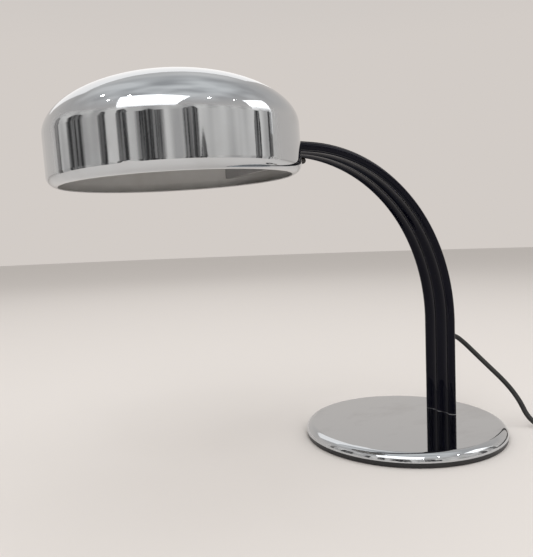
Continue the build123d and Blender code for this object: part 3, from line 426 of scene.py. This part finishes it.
# %% Rubber, paint and castings
FINE, SMOOTH = 0.00003, 0.00002
grained("black_plinth", (0.012, 0.012, 0.013), (0.02, 0.02, 0.021), 0.36, 0.12, 2200, FINE)
grained("black_rubber", (0.012, 0.012, 0.012), (0.022, 0.021, 0.02), 0.46, 0.16, 1500, 0.00004)
grained(
    "grey_felt", (0.03, 0.03, 0.033), (0.055, 0.055, 0.058), 0.95, 0.05, 1800, 0.0003,
    sheen_weight=0.4,
)
grained(
    "cast_weight", (0.035, 0.035, 0.037), (0.06, 0.045, 0.035), 0.62, 0.2, 420, 0.0002,
    metallic=0.6,
)
grained(
    "black_block", (0.014, 0.014, 0.016), (0.024, 0.024, 0.026), 0.34, 0.1, 2400, SMOOTH,
    metallic=0.7,
)
grained("grey_partition", (0.26, 0.26, 0.265), (0.21, 0.21, 0.21), 0.42, 0.12, 900, SMOOTH)
print("finishes so far:", len(finishes))

# %% Insulators and glass
grained("wire_sleeve", (0.16, 0.06, 0.025), (0.12, 0.045, 0.02), 0.4, 0.1, 900, SMOOTH)
grained("ceramic", (0.72, 0.70, 0.65), (0.62, 0.59, 0.53), 0.5, 0.15, 1200, FINE)
grained("white_block", (0.68, 0.67, 0.62), (0.6, 0.58, 0.52), 0.42, 0.1, 1600, SMOOTH)
grained("fibre_washer", (0.22, 0.1, 0.045), (0.3, 0.16, 0.08), 0.8, 0.1, 1400, 0.0001)
grained("black_bakelite", (0.012, 0.0105, 0.01), (0.026, 0.019, 0.016), 0.2, 0.12, 700, SMOOTH)
grained("black_glass", (0.01, 0.01, 0.014), (0.016, 0.016, 0.02), 0.1, 0.06, 500, 0.00001)
print("finishes so far:", len(finishes))

# %% [markdown]
# ## Bare metal
# Zinc plate on pressed sheet has a brushed base that shows through, brass tarnishes in
# patches, and rolled aluminium is paler. The brushing is a noise stretched along one axis.


# %% Brushed finishes
def brushed(name, colour, tarnish, roughness, brush):
    made = Finish(name, colour, roughness, metallic=1.0)
    where = made.place()
    lines = made.noise(made.stretch(where, brush), 1.0, detail=3.0)
    cloud = made.noise(where, 70, detail=4.0)
    stain = made.between(cloud, 0.5, 0.75)
    made.set("Base Color", made.mix(stain, (*colour, 1), (*tarnish, 1)))
    made.set("Roughness", roughness + 0.1 * lines + 0.12 * stain)
    made.set("Normal", made.bump(lines, LINE_DEPTH))
    finishes[name] = made


brushed("zinc_sheet", (0.50, 0.51, 0.53), (0.42, 0.42, 0.40), 0.26, (60, 2400, 60))
brushed("steel_hardware", (0.56, 0.57, 0.59), (0.44, 0.43, 0.41), 0.2, (300, 300, 3000))
brushed("brass_contact", (0.72, 0.50, 0.20), (0.46, 0.30, 0.12), 0.2, (900, 900, 900))
brushed("cap_metal", (0.68, 0.68, 0.69), (0.55, 0.55, 0.54), 0.2, (200, 200, 2600))
print("finishes so far:", len(finishes))

# %% [markdown]
# ## The bulb
# A frosted bulb is clear glass etched inside. At this size it reads as milky, so the
# finish is a rough glass under a smooth skin: high transmission, soft roughness below, and
# a thin clear coat on top for the sharp reflection.

# %% Bulb
MILK = (0.95, 0.95, 0.93)
MILK_DUSTY = (0.86, 0.86, 0.83)
ETCH_GRAIN = 160
ETCH_ROUGH, ETCH_SPREAD = 0.38, 0.15

bulb = Finish("bulb_glass", MILK, ETCH_ROUGH, transmission_weight=0.75, ior=1.45)
bulb.set("Coat Weight", 0.8)
etch = bulb.noise(bulb.place(), ETCH_GRAIN, detail=4.0)
bulb.set("Base Color", bulb.mix(etch, (*MILK, 1), (*MILK_DUSTY, 1)))
bulb.set("Roughness", ETCH_ROUGH + ETCH_SPREAD * etch)
finishes["bulb_glass"] = bulb
print("bulb nodes:", len(bulb.tree.nodes))

# %% Giving every node its finish
for part in frame["record"]["subparts"]:
    slots = nodes[part["node"]].data.materials
    slots.clear()
    slots.append(finishes[part["material_slot"]].material)
cord_data.materials.append(finishes["black_rubber"].material)
print("finishes:", len(finishes))

# %% [markdown]
# ## Floor, background and light
# Chrome shows only what stands round it, so a pale floor and a pale room alone would turn
# it white. A product photographer stands dark flags behind the camera, and the mirror then
# has something to draw its edges with. Here they are painted on one curved screen that
# fades out at its top and its ends. Only reflections see it, so the background stays plain
# from every side. The lights are large and soft, with a few small round ones above that
# give the dome its bright points.

# %% Floor
FLOOR_RADIUS = 9.0
FLOOR_SIDES = 120
FLOOR_COLOUR = (0.76, 0.725, 0.695)


def show(name, sheet, finish):
    """Turn a bmesh sheet into a piece of the stage."""
    data = bpy.data.meshes.new(name)
    sheet.to_mesh(data)
    sheet.free()
    data.materials.append(finish.material)
    made = bpy.data.objects.new(name, data)
    bpy.context.scene.collection.objects.link(made)
    return made


matte = Finish("floor", FLOOR_COLOUR, 0.5, specular_ior_level=0.0)
matte.set("Roughness", 0.42 + 0.1 * matte.noise(matte.place(), 3.0))
sheet = bmesh.new()
centre = sheet.verts.new((0, 0, 0))
rim = []
for step in range(FLOOR_SIDES):
    angle = 2 * math.pi * step / FLOOR_SIDES
    edge = Vector((math.cos(angle), math.sin(angle), 0)) * FLOOR_RADIUS
    rim.append(sheet.verts.new(edge))
for first, second in zip(rim, rim[1:] + rim[:1]):
    sheet.faces.new((centre, first, second))
show("floor", sheet, matte)
print("floor: %.0f m across" % (2 * FLOOR_RADIUS))

# %% [markdown]
# On the screen, a place is a turn about the base's upright axis and a height. The turn is
# zero on the camera's side and grows to its right. Each flag is dark where the turn is near
# its middle and the height is under its rounded top.

# %% Flags
SCREEN_PALE = (0.90, 0.90, 0.89)
SCREEN_GREY = (0.56, 0.56, 0.56)
FLAG_DARK = (0.03, 0.03, 0.032)
FLAG_WORN = (0.30, 0.30, 0.30)
FLAG_ROUNDING = 0.12
FLAG_TOP_SOFT = 0.02
FLAG_SIDE_OUT, FLAG_SIDE_IN = 1.1, 0.85

# Middle and half width in degrees, top in metres
FLAGS = [
    (-97, 3, 0.95),
    (-76, 8, 0.92),
    (-52, 3, 0.85),
    (-37, 4, 0.90),
    (-17, 10, 0.80),
    (13, 6, 0.94),
    (22, 3, 0.62),
    (76, 4, 0.86),
    (93, 3, 0.98),
]

backdrop = Finish("screen", SCREEN_PALE, 0.7)
where = backdrop.place()
turn = backdrop.maths("ARCTAN2", backdrop.dot(where, right_level), backdrop.dot(where, -level))
high = backdrop.height(where)

flagged = 0.0
for middle, half_width, top in FLAGS:
    off = abs(turn - math.radians(middle)) / math.radians(half_width)
    upright = backdrop.between(off, FLAG_SIDE_OUT, FLAG_SIDE_IN)
    rounded = high + FLAG_ROUNDING * off * off
    below_top = backdrop.between(rounded, top + FLAG_TOP_SOFT, top - FLAG_TOP_SOFT)
    flagged = backdrop.maths("MAXIMUM", upright * below_top, flagged)
print("flags:", len(FLAGS))

# %% Screen finish
SCREEN_HEIGHT = 1.3
SCREEN_HALF_TURN = math.radians(110)
TOP_FADE = 0.35
END_FADE = math.radians(18)
BROAD_STRETCH = (2.2, 2.2, 0.6)
CLOTH_STRETCH = (14, 14, 1.6)

broad = backdrop.noise(backdrop.stretch(where, BROAD_STRETCH), 1.0, detail=1.0)
cloth = backdrop.noise(backdrop.stretch(where, CLOTH_STRETCH), 1.0, detail=2.0)
pale = backdrop.mix(backdrop.between(broad, 0.4, 0.62), (*SCREEN_GREY, 1), (*SCREEN_PALE, 1))
dark = backdrop.mix(backdrop.between(cloth, 0.4, 0.65), (*FLAG_DARK, 1), (*FLAG_WORN, 1))
top_shown = backdrop.between(high, SCREEN_HEIGHT, SCREEN_HEIGHT - TOP_FADE)
end_shown = backdrop.between(abs(turn), SCREEN_HALF_TURN, SCREEN_HALF_TURN - END_FADE)
backdrop.set("Base Color", backdrop.mix(flagged, pale, dark))
backdrop.set("Alpha", top_shown * end_shown)
print("screen nodes:", len(backdrop.tree.nodes))

# %% Screen behind the camera
SCREEN_RADIUS = 1.9
SCREEN_STEPS = 60

behind_camera = math.atan2(-level.y, -level.x)
rise = Vector((0, 0, SCREEN_HEIGHT))
sheet = bmesh.new()
columns = []
for step in range(SCREEN_STEPS + 1):
    angle = behind_camera + SCREEN_HALF_TURN * (2 * step / SCREEN_STEPS - 1)
    foot = Vector((math.cos(angle), math.sin(angle), 0)) * SCREEN_RADIUS
    columns.append((sheet.verts.new(foot), sheet.verts.new(foot + rise)))
for (low, high), (next_low, next_high) in zip(columns, columns[1:]):
    sheet.faces.new((low, next_low, next_high, high))
screen = show("screen", sheet, backdrop)
screen.visible_camera = False
screen.visible_shadow = False
screen.visible_diffuse = False
print("screen columns:", len(columns))

# %% [markdown]
# The room is a warm wall that turns into a grey ceiling. The ceiling is lit unevenly, which
# only the upward parts of the chrome see: a lens at table height doesn't reach that high.

# %% World
WALL = (0.68, 0.635, 0.60)
CEILING = (0.47, 0.472, 0.475)
CEILING_LIT = (0.84, 0.84, 0.835)
ROOM_STRENGTH = 0.95
PATCH_SCALE = 2.4
WALL_TOP, CEILING_START = 0.30, 0.92
PATCHES_FROM, PATCHES_FULL = 0.52, 0.8

world = bpy.data.worlds.new("room")
world.use_nodes = True
bpy.context.scene.world = world
room = Graph(world.node_tree)
direction = room.place("Generated")
upward = room.height(direction)
patches = room.between(room.noise(direction, PATCH_SCALE, detail=1.0), 0.38, 0.62)
uneven = patches * room.between(upward, PATCHES_FROM, PATCHES_FULL)
ceiling = room.mix(uneven, (*CEILING, 1), (*CEILING_LIT, 1))
sky = room.mix(room.between(upward, WALL_TOP, CEILING_START), (*WALL, 1), ceiling)
background = world.node_tree.nodes["Background"]
room.feed(background.inputs["Color"], sky)
room.feed(background.inputs["Strength"], ROOM_STRENGTH)
print("room nodes:", len(world.node_tree.nodes))


# %% Lights
LIGHT_TARGET = Vector((-0.1, 0, 0.2))


def soft_light(name, place, size, watts, shape="RECTANGLE"):
    data = bpy.data.lights.new(name, "AREA")
    data.shape = shape
    data.size, data.size_y = size
    data.energy = watts
    lamp = bpy.data.objects.new(name, data)
    bpy.context.scene.collection.objects.link(lamp)
    lamp.location = place
    aim = LIGHT_TARGET - Vector(place)
    lamp.rotation_euler = aim.to_track_quat("-Z", "Y").to_euler()
    return lamp


# Name, place, width and height in metres, watts
soft_light("key", (-1.6, -1.3, 2.0), (2.2, 1.6), 17)
soft_light("fill", (1.7, -1.2, 1.4), (1.0, 1.3), 6)
soft_light("rim", (0.3, 2.2, 1.9), (2.4, 1.2), 5)
overhead = soft_light("overhead", (0.0, 0.01, 2.6), (3.0, 3.0), 18)
overhead.visible_glossy = False
print("overhead: %.0f W, not reflected" % overhead.data.energy)

# %% Ceiling spots
SPOT_HEIGHT = 2.1
SPOT_SIZE = 0.07
SPOT_WATTS = 0.7

# Turn in degrees, as for the flags, and distance from the base's axis in metres
SPOTS = [
    (-85, 1.5),
    (-62, 1.9),
    (-50, 1.4),
    (-28, 2.2),
    (-8, 1.5),
    (8, 2.3),
    (34, 1.7),
    (60, 2.0),
]

for number, (turned, away) in enumerate(SPOTS):
    angle = math.radians(turned)
    place = (right_level * math.sin(angle) - level * math.cos(angle)) * away
    place.z = SPOT_HEIGHT
    soft_light("ceiling_%d" % number, place, (SPOT_SIZE, SPOT_SIZE), SPOT_WATTS, "DISK")
print("ceiling spots:", len(SPOTS))

# %% [markdown]
# The standard transform keeps chrome's contrast, where a film-like one would grey it.

bpy.context.scene.view_settings.view_transform = "Standard"
